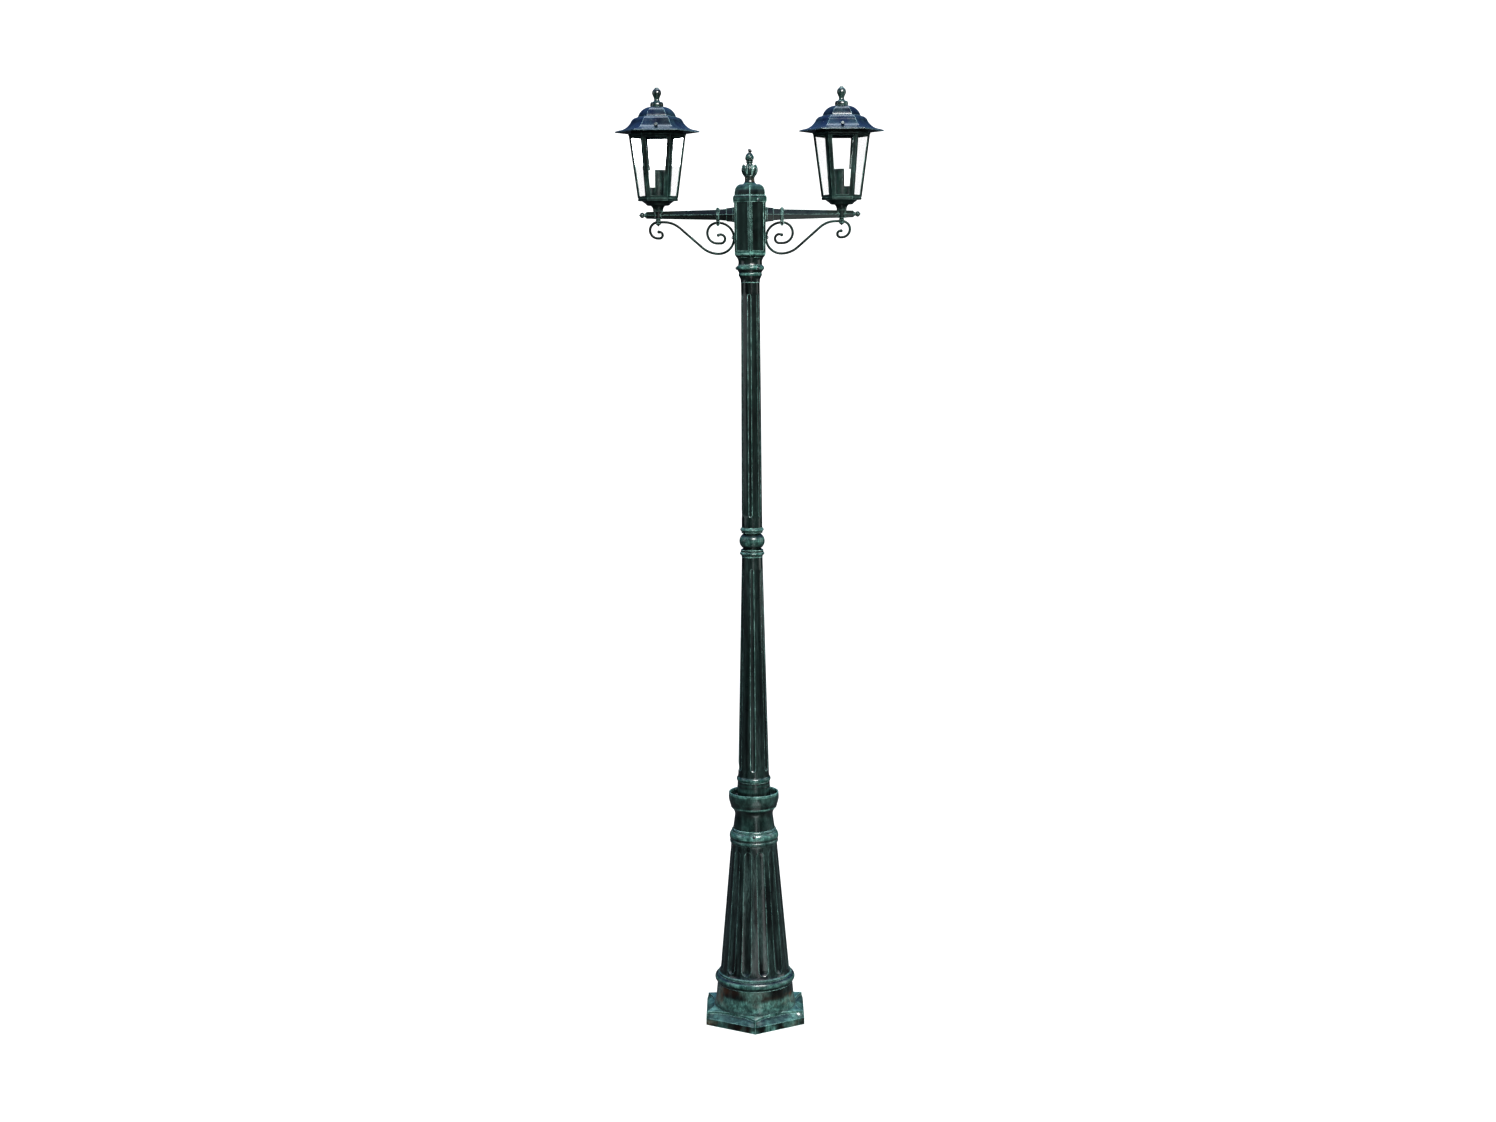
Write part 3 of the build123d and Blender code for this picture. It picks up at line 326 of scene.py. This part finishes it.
def pane_glass(name):
    """Clear sheet glass with faint smears."""
    m = Mat(name)
    smear = m.ramp(m.noise(30, 5, 0.6, stretch=(1, 1, 0.35)), 0.45, 0.8)
    m.bsdf.inputs["Base Color"].default_value = (1, 1, 1, 1)
    # a pane casts no shadow
    shadow = m.add("ShaderNodeLightPath").outputs["Is Shadow Ray"]
    clear = m.add("ShaderNodeBsdfTransparent").outputs[0]
    m.link(m.either(shadow, m.bsdf.outputs[0], clear), m.out.inputs["Surface"])
    m.bsdf.inputs["Transmission Weight"].default_value = 1.0
    m.bsdf.inputs["IOR"].default_value = 1.45
    m.link(m.math("ADD", 0.01, m.math("MULTIPLY", smear, 0.035)), m.bsdf.inputs["Roughness"])
    m.link(m.bump(m.noise(24, 2, 0.5), 0.02, 0.001), m.bsdf.inputs["Normal"])
    return m.mat


def sticker(name):
    """Blank matt paper with a soft mottle and a dull rim."""
    m = Mat(name)
    pulp = m.noise(1400, 4, 0.7)
    cloud = m.ramp(m.noise(90, 3, 0.6), 0.3, 0.75)
    colour = m.mix(m.math("MULTIPLY", cloud, 0.6), linear("#f0f1ee"), linear("#d9ded9"))
    colour = m.mix(m.math("MULTIPLY", m.edges(0.0012), 0.35), colour, linear("#9aa39d"))
    m.link(colour, m.bsdf.inputs["Base Color"])
    m.link(m.math("ADD", 0.5, m.math("MULTIPLY", pulp, 0.25)), m.bsdf.inputs["Roughness"])
    m.link(m.bump(pulp, 0.12, 0.0002), m.bsdf.inputs["Normal"])
    return m.mat


def ceramic(name):
    """Glazed holder body, with fine pits and painted shade in its hollows."""
    m = Mat(name)
    colour = m.mix(m.ramp(m.noise(220, 4, 0.6), 0.35, 0.75), linear("#e7e5dc"), linear("#cfccbf"))
    # painted shade: the hollows of the holder are darkened
    colour = m.mix(m.hollows(0.003), colour, linear("#6c6a60"))
    m.link(colour, m.bsdf.inputs["Base Color"])
    m.link(m.math("ADD", 0.18, m.math("MULTIPLY", m.noise(150, 3, 0.6), 0.2)), m.bsdf.inputs["Roughness"])
    m.link(m.bump(m.noise(900, 3, 0.6), 0.1, 0.0003), m.bsdf.inputs["Normal"])
    return m.mat


def brass(name):
    m = Mat(name)
    tarnish = m.ramp(m.noise(260, 5, 0.65), 0.35, 0.75)
    m.link(m.mix(tarnish, linear("#c9a24f"), linear("#7d5d2b")), m.bsdf.inputs["Base Color"])
    m.bsdf.inputs["Metallic"].default_value = 1.0
    m.link(m.math("ADD", 0.25, m.math("MULTIPLY", tarnish, 0.3)), m.bsdf.inputs["Roughness"])
    rolled = m.noise(1800, 2, 0.6, stretch=(0.05, 0.05, 1))
    m.link(m.bump(rolled, 0.25, 0.0002), m.bsdf.inputs["Normal"])
    return m.mat


def moulded(name, dark, light, grain=1200, rough=0.5):
    """Moulded plastic or rubber: a fine spark texture and soft mottle."""
    m = Mat(name)
    mottle = m.ramp(m.noise(120, 4, 0.6), 0.3, 0.75)
    m.link(m.mix(mottle, linear(dark), linear(light)), m.bsdf.inputs["Base Color"])
    m.link(m.math("ADD", rough, m.math("MULTIPLY", m.noise(300, 3, 0.6), 0.18)), m.bsdf.inputs["Roughness"])
    m.link(m.bump(m.noise(grain, 3, 0.6), 0.3, 0.0003), m.bsdf.inputs["Normal"])
    return m.mat


def dress(material, *names):
    """Give CAD nodes a material."""
    for name in names:
        slots = nodes[name].material_slots
        for slot in slots:
            slot.material = material
        if not slots:
            nodes[name].data.materials.append(material)


def dress_pair(material, *names):
    for name in names:
        dress(material, name + "_left", name + "_right")


dress(casting("foot_paint", bands=[(0.0335, 0.0045, 1.0), (0.022, 0.006, 0.4), (0.055, 0.022, 0.8)],
              wash=0.85, up=0.12, pale=0.14, bronze=[(0.006, 0.012, 0.7), (0.075, 0.035, 1.0)],
              brown_from=0.088),
      "base_foot")
dress(casting("pedestal_paint", bands=[(0.1085, 0.0085, 1.0), (0.122, 0.003, 0.9), (0.494, 0.009, 1.0),
                                       (0.4765, 0.004, 0.5)],
              edge=0.0034, trace=0.5, streak=0.9, pale=0.1, bronze=[(0.0975, 0.006, 1.0)], brown_from=0.088),
      "base_pedestal")
dress(casting("cup_paint", bands=[(0.603, 0.005, 1.0), (0.588, 0.016, 0.25), (0.5655, 0.005, 0.9),
                                  (0.505, 0.003, 0.7)],
              streak=0.5, wash=0.15, pale=0.12),
      "base_cup_neck")
dress(casting("lower_shaft_paint", bands=[(0.6405, 0.006, 1.0), (0.6265, 0.003, 0.4), (0.614, 0.008, 0.4)],
              streak=0.55, grain=(1, 1, 0.04), trace=0.7),
      "lower_shaft")
dress(casting("collar_paint", bands=[(1.2306, 0.004, 0.6), (1.292, 0.004, 1.0), (1.2625, 0.016, 0.6)],
              streak=0.4, wash=0.1, pale=0.1, coat=0.4),
      "mid_collar")
dress(casting("upper_shaft_paint", streak=0.3, grain=(1, 1, 0.04), trace=0.6, coat=0.36), "upper_shaft")
dress(casting("capital_paint", bands=[(1.9545, 0.006, 1.0), (1.938, 0.004, 0.9), (1.9885, 0.003, 0.8)],
              streak=0.3, bronze=[(1.97, 0.012, 0.7)], coat=0.45),
      "head_capital")
# the box's left half is tinted as painted shade of that side
dress(casting("box_paint", bands=[(1.9925, 0.0035, 0.8)], edge=0.0021, streak=0.3, left=linear("#0a1c18"),
              coat=0.45),
      "head_box")
dress(casting("cap_paint", bands=[(2.124, 0.007, 0.45), (2.155, 0.01, 0.5)], edge=0.003, trace=0.8,
              streak=0.3, wash=0.1, coat=0.45),
      "head_cap")
finial_paint = casting("finial_paint", bands=[(2.206, 0.008, 0.7), (2.229, 0.008, 0.5), (2.163, 0.003, 0.8)],
                       edge=0.0012, streak=0.3, wash=0.15, bronze=[(2.174, 0.009, 0.6)], coat=0.5)
dress(finial_paint, "head_finial")
arm_paint = casting("arm_paint", streak=0.15, grain=(0.06, 1, 1), edge=0.0016, trace=0.55, coat=0.38)
dress_pair(arm_paint, "arm", "arm_tip")
strap_paint = casting("strap_paint", streak=0.3, edge=0.0014, wash=0.2, coat=0.4)
dress_pair(strap_paint, "arm_strap")
dress(strap_paint, "scroll_spacers", "scroll_drops")
scroll_paint = casting("scroll_paint", grain=(0.3, 1, 0.3), edge=0.0008, streak=0.06, trace=0.25,
                       wash=0.18, coat=0.25)
lantern_paint = casting("lantern_paint", grain=(1, 1, 0.08), edge=0.0012, streak=0.35, trace=0.4, wash=0.15,
                        coat=0.4)
dress_pair(lantern_paint, "lantern_tray", "lantern_frame")
sleeve_paint = casting("sleeve_paint", streak=0.2, grain=(1, 1, 0.08), edge=0.001, trace=0.4, wash=0.1,
                       coat=0.35)
dress_pair(sleeve_paint, "holder_sleeve")
roof_coat = roof_paint("roof_paint")
dress_pair(roof_coat, "roof")
dress_pair(casting("ball_paint", streak=0.4, edge=0.0016, wash=0.3), "roof_finial")
steel = zinc("zinc")
dress(steel, "foot_screws", "post_set_screws", "head_screws", "arm_screws", "scroll_screws", "nipple_nuts",
      "earth_screw", "head_cap_screw")
dress_pair(steel, "lantern_nipple", "roof_screw_1", "roof_screw_2", "roof_screw_3")
dress_pair(pane_glass("pane_glass"), "lantern_glass")
dress_pair(sticker("sticker"), "holder_label")
dress_pair(ceramic("ceramic"), "lamp_socket")
contact_brass = brass("brass")
dress_pair(contact_brass, "socket_contacts")
dress_pair(moulded("core_insulation", "#17356e", "#24498c"), "arm_leads")
dress(moulded("cable_sheath", "#08090a", "#16181a", 700), "riser_cable", "inlet_connector")
dress(moulded("block_plastic", "#cfcdc2", "#e2e0d6"), "terminal_block")


# ------------------------------------------------------------------ detail on the castings
def smooth(points, steps):
    """Vectors along a smooth curve through the given points."""
    knots = [Vector(p) for p in (points[0], *points, points[-1])]
    out = []
    for a, b, c, d in zip(knots, knots[1:], knots[2:], knots[3:]):
        for k in range(steps):
            t = k / steps
            cubic = (3 * b - a - 3 * c + d) * t + 2 * a - 5 * b + 4 * c - d
            out.append(0.5 * (2 * b + ((c - a) + cubic * t) * t))
    out.append(knots[-1])
    return out


def between(pairs, t):
    """Value at t on the line through (t, value) pairs."""
    for (t0, v0), (t1, v1) in zip(pairs, pairs[1:]):
        if t <= t1:
            return v0 + (v1 - v0) * (t - t0) / (t1 - t0)
    return pairs[-1][1]


def solids(name, skins, material, body):
    """One piece from closed skins, each a list of rings of points that is capped at both ends."""
    mesh = bpy.data.meshes.new(name)
    shape = bmesh.new()
    for rings in skins:
        rows = [[shape.verts.new(point) for point in ring] for ring in rings]
        for low, high in zip(rows, rows[1:]):
            for i in range(len(low)):
                j = (i + 1) % len(low)
                face = shape.faces.new((low[i], low[j], high[j], high[i]))
                face.smooth = True
        shape.faces.new(list(reversed(rows[0])))
        shape.faces.new(rows[-1])
    bmesh.ops.recalc_face_normals(shape, faces=shape.faces)
    shape.to_mesh(mesh)
    shape.free()
    piece = bpy.data.objects.new(name, mesh)
    scene.collection.objects.link(piece)
    mesh.materials.append(material)
    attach(piece, body)
    return piece


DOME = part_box("head_cap")[1][2]


def around(radius, z, count=64, centre=0.0):
    """Ring of points; radius is a number or a function of the angle. Millimetres above the dome."""
    ring = []
    for k in range(count):
        angle = TURN * k / count
        r = radius(angle) if callable(radius) else radius
        ring.append((MM * (centre + r * math.cos(angle)), MM * r * math.sin(angle), DOME + MM * z))
    return ring


def finial_stem():
    """Flared seat, waist and core of the bud, and the short neck over it."""
    seat = smooth([(17.6, -0.2), (16.8, 1.2), (13.8, 4.2), (12.3, 8.6), (12.0, 13.6), (12.3, 17.6)], 4)
    bead = smooth([(12.4, 18.2), (14.2, 19.4), (14.2, 21.2), (12.8, 22.4)], 4)
    core = smooth([(12.8, 22.4), (15.4, 28.0), (16.6, 35.0), (14.0, 41.0), (9.6, 45.0), (7.2, 49.0),
                   (6.8, 52.0)], 4)
    lip = smooth([(7.0, 52.8), (9.0, 54.2), (9.0, 55.6), (7.4, 56.8)], 3)
    return [around(p[0], p[1]) for p in seat + bead + core[1:] + lip]


def finial_ball():
    """Ball with five lobes that wind round it like a turban."""
    rings = []
    profile = smooth([(6.6, 56.4), (9.6, 59.4), (11.0, 63.8), (10.8, 68.0), (8.8, 72.4), (5.8, 76.0),
                      (4.4, 77.4)], 4)
    for p in profile:
        climb = (p[1] - 56.4) / 21.0
        swell = 0.16 * math.sin(math.pi * climb)

        def lobe(angle):
            return p[0] * (1 - swell * (1 - abs(math.cos(2.5 * (angle - 2.4 * climb)))) ** 1.5)

        rings.append(around(lobe, p[1], 80))
    return rings


def finial_nub():
    """Small bent tip."""
    rings = []
    for p in smooth([(4.0, 76.6), (3.4, 78.4), (4.4, 80.6), (4.5, 83.2), (3.6, 85.6), (1.6, 87.0)], 4):
        lean = 1.3 * math.sin(math.pi * (p[1] - 76.6) / 9.0)
        rings.append(around(p[0], p[1], 32, lean))
    return rings


def petal(centre, drop, tip):
    """One leaf of the bud: a lens in section, ribbed down the middle, its tip curled outward."""
    reach = smooth([(13.4, 0.0), (16.6, 0.2), (18.8, 0.45), (18.7, 0.72), (18.0, 0.88), (19.6, 1.0)], 5)
    rings = []
    for p in reach:
        half = math.radians(between([(0, 20), (0.3, 23), (0.6, 22), (0.8, 16), (0.93, 9), (1.0, 1.5)], p[1]))
        thick = between([(0, 1.2), (0.7, 1.1), (1.0, 0.5)], p[1])
        z = DOME + MM * (21.6 + (tip - 21.6) * p[1])
        ring = []
        for k in range(28):
            turn = TURN * k / 28
            across = math.cos(turn)
            rib = 0.9 * math.exp(-((across / 0.22) ** 2)) if math.sin(turn) > 0 else 0.0
            r = p[0] - drop - 1.5 * across ** 2 + thick * math.sin(turn) + rib * (1 - p[1])
            angle = centre + half * across
            ring.append((MM * r * math.cos(angle), MM * r * math.sin(angle), z))
        rings.append(ring)
    return rings


# eight outer leaves, and eight between and behind them
leaves = [petal(TURN / 8 * k, 0.0, 47.6) for k in range(8)]
leaves += [petal(TURN / 8 * (k + 0.5), 1.5, 49.4) for k in range(8)]
finial = solids("finial_bud", [finial_stem(), finial_ball(), finial_nub(), *leaves], finial_paint, "head_cap")
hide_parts("head_finial")


# middle of the scroll's bar, from the inner curl outward, in millimetres and degrees: a bend is its radius,
# which is positive where it turns left, and its angle, and a run is 0 and its length
CURL_RADIUS, CURL_ANGLE = 11.0, 212.0
SCROLL_MOVES = ((CURL_RADIUS, CURL_ANGLE), (0, 8.0), (25.5, 180.0), (0, 3.0), (38.5, 180.0), (62.0, 41.2),
                (0, 74.6), (-60.0, 41.2), (0, 15.6), (-20.0, 180.0), (0, 3.5), (-8.0, 190.0))
# from the corner of the CAD scroll's box to the lowest point of the inner curl
CURL_FROM_CORNER = (35.75, 28.25)


def scroll_line(low):
    """Points on the middle of the bar as (x, z, heading); low is the lowest corner of its box."""
    # the inner curl starts where it has to for its lowest point to be level
    curl = math.radians(CURL_ANGLE)
    x = low[0] / MM + CURL_FROM_CORNER[0] - CURL_RADIUS * math.sin(curl)
    z = low[2] / MM + CURL_FROM_CORNER[1] + CURL_RADIUS * (1 - math.cos(curl))
    heading = -curl
    line = [(x, z, heading)]
    for radius, amount in SCROLL_MOVES:
        steps = max(6, int(amount / 7)) if radius else 12
        swing = math.copysign(math.radians(amount), radius) / steps
        for _ in range(steps):
            if radius:
                x += radius * (math.sin(heading + swing) - math.sin(heading))
                z -= radius * (math.cos(heading + swing) - math.cos(heading))
                heading += swing
            else:
                x += amount / steps * math.cos(heading)
                z += amount / steps * math.sin(heading)
            line.append((x, z, heading))
    return line


def scroll_skins(sign, low):
    """The round-edged bar of one scroll, and the knob at each of its ends; sign is -1 on the left."""
    half_width, half_thick, corner = 4.75, 3.1, 1.3
    line = scroll_line(low)
    bar = []
    for x, z, heading in line:
        ring = []
        for quarter, (across, up) in enumerate(((1, 1), (-1, 1), (-1, -1), (1, -1))):
            for k in range(4):
                turn = math.radians(90 * quarter + 30 * k)
                y = corner * math.cos(turn) + (half_width - corner) * across
                out = corner * math.sin(turn) + (half_thick - corner) * up
                ring.append((MM * sign * (x - out * math.sin(heading)), MM * y,
                             MM * (z + out * math.cos(heading))))
        bar.append(ring)
    skins = [bar]
    for x, z, _ in (line[0], line[-1]):
        knob = []
        for y, r in ((-4.9, 2.8), (-4.4, 3.7), (-3.4, 4.1), (3.4, 4.1), (4.4, 3.7), (4.9, 2.8)):
            ring = []
            for k in range(24):
                turn = TURN * k / 24
                ring.append((MM * sign * (x + r * math.cos(turn)), MM * y, MM * (z + r * math.sin(turn))))
            knob.append(ring)
        skins.append(knob)
    return skins


scroll_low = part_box("scroll_right")[0]
for side, sign in SIDES:
    bar = solids("scroll_bar_" + side, scroll_skins(sign, scroll_low), scroll_paint, "post")
    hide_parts("scroll_" + side)


# thread of the lamp holder's shell
THREAD_RADIUS = 0.0137
THREAD_PITCH = 0.00363
THREAD_RIDGE = 0.0006


def rolled_thread(name, x, top, bottom):
    """Rolled thread inside the holder's shell, as a helix of round section."""
    steps = 40
    turns = (top - bottom) / THREAD_PITCH
    rings = []
    for i in range(int(turns * steps) + 1):
        angle = TURN * i / steps
        z = bottom + THREAD_PITCH * i / steps
        fade = min(1.0, i / steps, turns - i / steps + 0.02)
        ring = []
        for k in range(10):
            turn = TURN * k / 10
            r = THREAD_RADIUS + THREAD_RIDGE * (1 - fade) + THREAD_RIDGE * math.cos(turn)
            ring.append((x + r * math.cos(angle), r * math.sin(angle), z + THREAD_RIDGE * math.sin(turn)))
        rings.append(ring)
    return solids(name, [rings], contact_brass, "post")


for side, sign in SIDES:
    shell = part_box("socket_contacts_" + side)
    rolled_thread("socket_thread_" + side, sign * LANTERN_X, shell[1][2] - 0.001, shell[0][2] + 0.012)

# ------------------------------------------------------------------ floor, light and camera
floor_mesh = bpy.data.meshes.new("floor")
shape = bmesh.new()
bmesh.ops.create_circle(shape, cap_ends=True, radius=40, segments=96)
shape.to_mesh(floor_mesh)
shape.free()
floor = bpy.data.objects.new("floor", floor_mesh)
scene.collection.objects.link(floor)
ground = Mat("floor_paint")
ground.bsdf.inputs["Base Color"].default_value = linear("#454544")
ground.bsdf.inputs["Roughness"].default_value = 0.9
ground.bsdf.inputs["Specular IOR Level"].default_value = 0.0
# the floor glows to the eye alone, so that it runs out to white without lighting the post
glow = ground.add("ShaderNodeEmission")
glow.inputs["Strength"].default_value = 1.0
lit_and_glowing = ground.add("ShaderNodeAddShader")
ground.link(ground.bsdf.outputs[0], lit_and_glowing.inputs[0])
ground.link(glow.outputs[0], lit_and_glowing.inputs[1])
ground.link(ground.either(ground.unscattered(), ground.bsdf.outputs[0], lit_and_glowing.outputs[0]),
            ground.out.inputs["Surface"])
floor.data.materials.append(ground.mat)

world = bpy.data.worlds.new("studio")
scene.world = world
world.use_nodes = True
air = Nodes(world.node_tree)
height = air.add("ShaderNodeSeparateXYZ")
air.link(air.add("ShaderNodeTexCoord").outputs["Generated"], height.inputs[0])
sky = air.add("ShaderNodeValToRGB")
air.link(height.outputs[2], sky.inputs[0])
sky.color_ramp.elements[0].color = linear("#1e2222")
sky.color_ramp.elements[1].color = linear("#a9c6f5")
for place, colour in ((0.16, "#282e32"), (0.36, "#44639a"), (0.7, "#7fa6e6")):
    sky.color_ramp.elements.new(place).color = linear(colour)
dim = air.tree.nodes["Background"]
air.link(sky.outputs[0], dim.inputs["Color"])
dim.inputs["Strength"].default_value = 0.8
white = air.add("ShaderNodeBackground")
white.inputs["Color"].default_value = (1, 1, 1, 1)
white.inputs["Strength"].default_value = 1.15
# the eye sees white, and light that has bounced inside a lantern still finds the dim sky
air.link(air.either(air.unscattered(), dim.outputs[0], white.outputs[0]),
         air.tree.nodes["World Output"].inputs["Surface"])


def softbox(name, place, target, size, power, colour):
    """Area light at place, facing target, that the camera doesn't see."""
    light = bpy.data.lights.new(name, "AREA")
    light.shape = "RECTANGLE"
    light.size, light.size_y = size
    light.energy = power
    light.color = colour
    lamp = bpy.data.objects.new(name, light)
    scene.collection.objects.link(lamp)
    lamp.location = place
    lamp.rotation_euler = (Vector(target) - Vector(place)).to_track_quat("-Z", "Y").to_euler()
    lamp.visible_camera = False
    return lamp


softbox("key_light", (1.1, -3.6, 4.2), (0, 0, 1.2), (2.5, 1.5), 440, (1.0, 0.97, 0.95))
softbox("left_light", (-3.2, -0.6, 2.4), (0, 0, 1.3), (1.6, 3.0), 28, (0.9, 0.97, 1.0))
softbox("right_light", (3.2, 0.2, 2.0), (0, 0, 1.3), (1.6, 3.0), 28, (0.93, 1.0, 0.97))
softbox("top_light", (0, 0.8, 5.2), (0, 0, 1.5), (2.0, 1.2), 42, (0.8, 0.9, 1.0))
softbox("front_light", (2.0, -9.0, 1.5), (0, 0, 1.5), (0.9, 2.8), 26, (0.93, 1.0, 1.0))
# the back light leaves no highlights
fill = softbox("back_light", (-1.2, 4.4, 3.4), (0, 0, 1.2), (3.0, 2.0), 170, (0.95, 0.98, 1.0))
fill.visible_glossy = False
# a strip on the floor in front, facing up, lights the foot from below
strip = softbox("floor_light", (1.04, -4.7, 0.02), (1.04, -4.7, 1.0), (0.6, 8.4), 34, (0.93, 1.0, 1.0))
strip.rotation_euler = (math.pi, 0, math.radians(12.5))

FOCAL_PIXELS = 2040
PHOTO_WIDTH = 1496
CAMERA_PLACE = (-0.0108, -5.186, 1.9115)
LOOKING_DOWN = math.radians(7.7)
ROLL = math.radians(-0.40)

lens = bpy.data.cameras.new("camera")
lens.sensor_width = 36.0
lens.lens = lens.sensor_width * FOCAL_PIXELS / PHOTO_WIDTH
lens.clip_end = 200
camera = bpy.data.objects.new("camera", lens)
scene.collection.objects.link(camera)
tilt = Matrix.Rotation(math.pi / 2 - LOOKING_DOWN, 4, "X")
roll = Matrix.Rotation(ROLL, 4, "Z")
camera.matrix_world = Matrix.Translation(CAMERA_PLACE) @ tilt @ roll
scene.camera = camera
scene.view_settings.view_transform = "Standard"
scene.view_settings.look = "Medium High Contrast"
